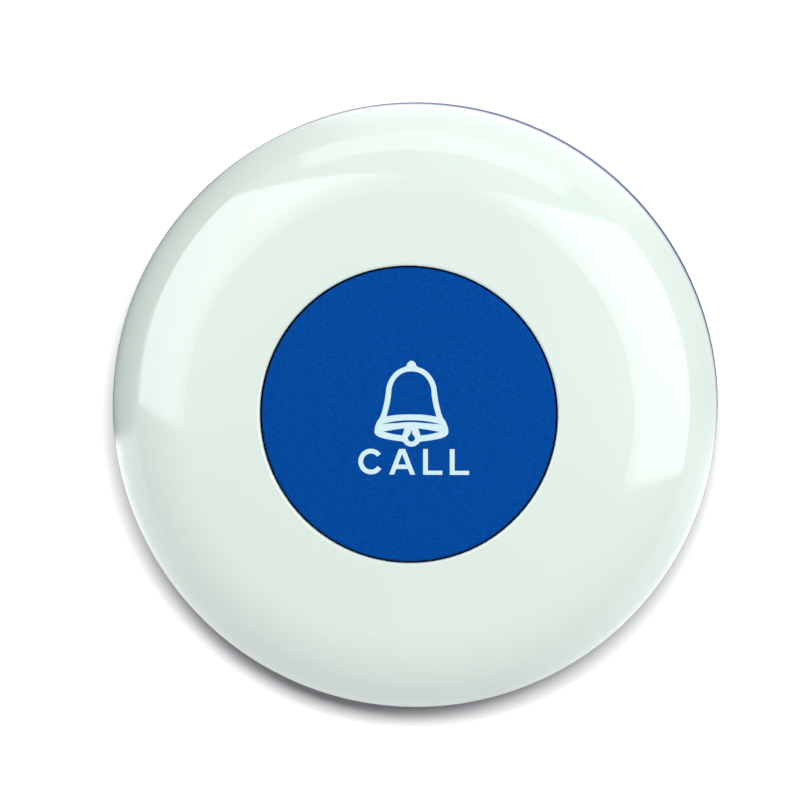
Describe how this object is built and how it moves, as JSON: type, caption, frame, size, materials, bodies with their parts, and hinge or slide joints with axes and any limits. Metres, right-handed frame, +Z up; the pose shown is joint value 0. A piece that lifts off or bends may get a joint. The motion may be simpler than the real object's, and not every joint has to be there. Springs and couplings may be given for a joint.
{
  "type": "waiter call button",
  "caption": "Round wireless call button with a domed glossy cover, a large round push cap in its middle and a flat base on a foam pad.",
  "frame": {"origin": "middle of the foam pad's underside, on the table", "axes": "+Z up along the push cap's axis, +Y towards the top of the symbol on the cap"},
  "size_m": [0.06, 0.06, 0.0149],
  "materials": {
    "cover_plastic": "glossy moulded ABS, mint white",
    "base_plastic": "glossy moulded ABS, blue",
    "cap_plastic": "satin moulded ABS, blue",
    "foam": "white polyethylene foam with adhesive on both faces",
    "seal_rubber": "black silicone cord",
    "case_screw_steel": "nickel plated steel",
    "board_screw_steel": "zinc plated steel",
    "board_laminate": "glass fibre laminate with green solder mask",
    "cell_steel": "nickel plated steel can",
    "contact_tin": "tinned copper",
    "clip_steel": "nickel plated spring steel",
    "switch_nylon": "black glass filled nylon",
    "switch_plate_steel": "stamped stainless steel",
    "dome_steel": "stainless spring steel",
    "stem_nylon": "black nylon",
    "lead_tin": "tinned brass",
    "chip_epoxy": "black moulded epoxy",
    "chip_lead_tin": "tinned copper",
    "resonator_gold": "gold plated lid on a ceramic tray",
    "transistor_epoxy": "black moulded epoxy",
    "lamp_white": "white moulded nylon",
    "lamp_resin": "clear epoxy resin",
    "resistor_glaze": "black glaze on ceramic",
    "capacitor_ceramic": "tan ceramic",
    "antenna_copper": "bare copper wire"
  },
  "bodies": {
    "housing": {"top_cover": "cover_plastic", "base": "base_plastic", "adhesive_pad": "foam", "seal_ring": "seal_rubber", "case_screws": "case_screw_steel", "board_screws": "board_screw_steel", "circuit_board": "board_laminate", "coin_cell": "cell_steel", "cell_contact": "contact_tin", "cell_clip": "clip_steel", "switch_housing": "switch_nylon", "switch_plate": "switch_plate_steel", "switch_dome": "dome_steel", "switch_leads": "lead_tin", "encoder_chip": "chip_epoxy", "encoder_leads": "chip_lead_tin", "saw_resonator": "resonator_gold", "rf_transistor": "transistor_epoxy", "lamp_package": "lamp_white", "lamp_lens": "lamp_resin", "chip_resistors": "resistor_glaze", "chip_capacitors": "capacitor_ceramic", "antenna_wire": "antenna_copper"},
    "button": {"button_cap": "cap_plastic"},
    "stem": {"switch_stem": "stem_nylon"}
  },
  "joints": [
    {"name": "button_press", "type": "slide", "parent": "housing", "child": "button", "axis": [0, 0, -1], "range_m": [0, 0.0005], "stiffness_N_per_m": 2400, "springref_m": -0.0002},
    {"name": "stem_press", "type": "slide", "parent": "housing", "child": "stem", "axis": [0, 0, -1], "range_m": [0, 0.0005], "deforming": ["switch_dome"]}
  ],
  "couplings": [
    {"joint": "stem_press", "follows": "button_press", "ratio": 1}
  ]
}
